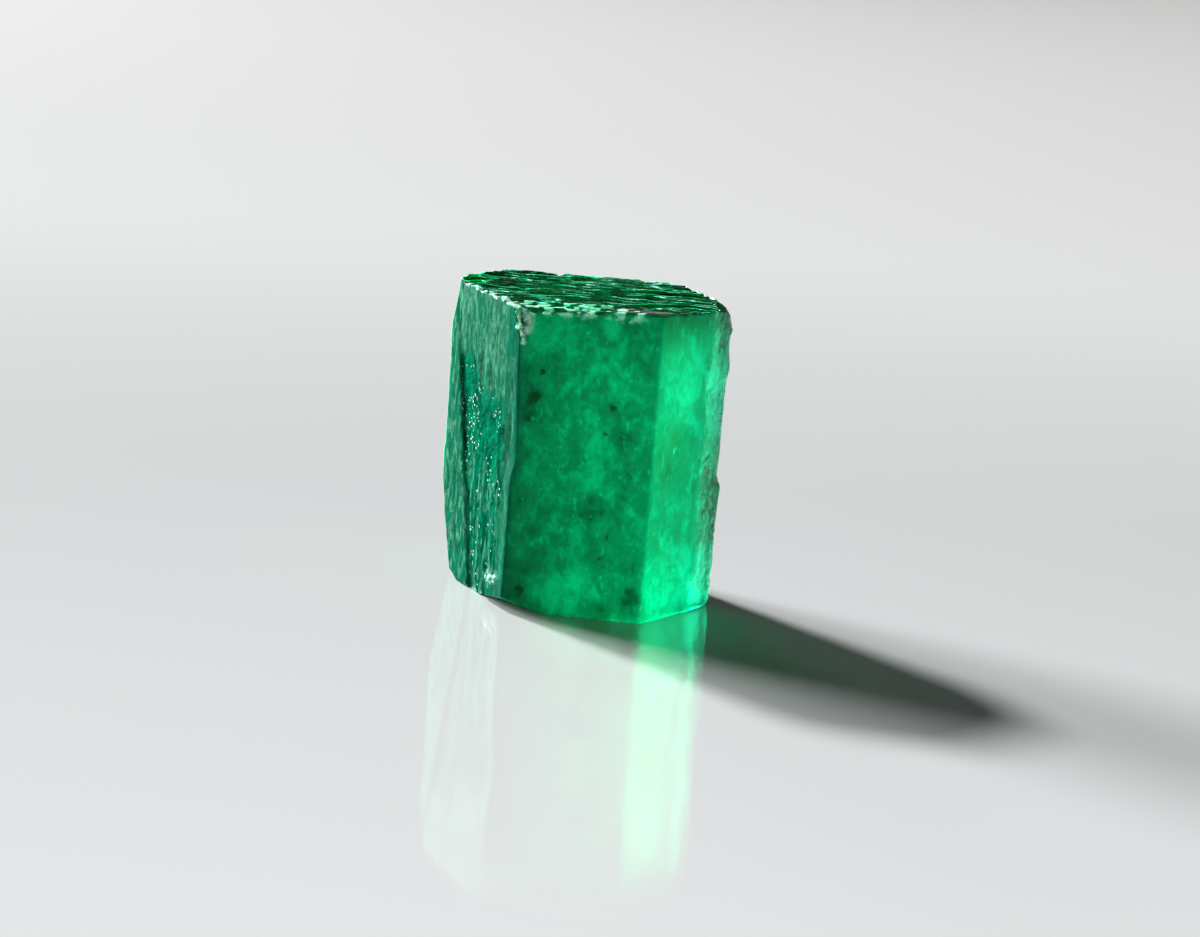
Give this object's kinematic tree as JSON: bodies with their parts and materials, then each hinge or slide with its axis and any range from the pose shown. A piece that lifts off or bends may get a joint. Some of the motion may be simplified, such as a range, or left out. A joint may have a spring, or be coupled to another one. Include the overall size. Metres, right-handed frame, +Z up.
{
  "type": "raw emerald crystal",
  "caption": "Rough six-sided prism of green beryl standing on a flat cleaved base, with a broken terraced top, grooved sides and worn corners.",
  "frame": {"origin": "middle of the bounding box, at the height of the flat base", "axes": "+Z up along the crystal's long axis, front prism face towards -Y, right edge towards +X"},
  "size_m": [0.009, 0.0074, 0.0096],
  "materials": {
    "emerald": "natural beryl: glossy prism faces, frosted and etched patches, cloudy inside"
  },
  "bodies": {
    "root": {"emerald_crystal": "emerald"}
  },
  "joints": []
}
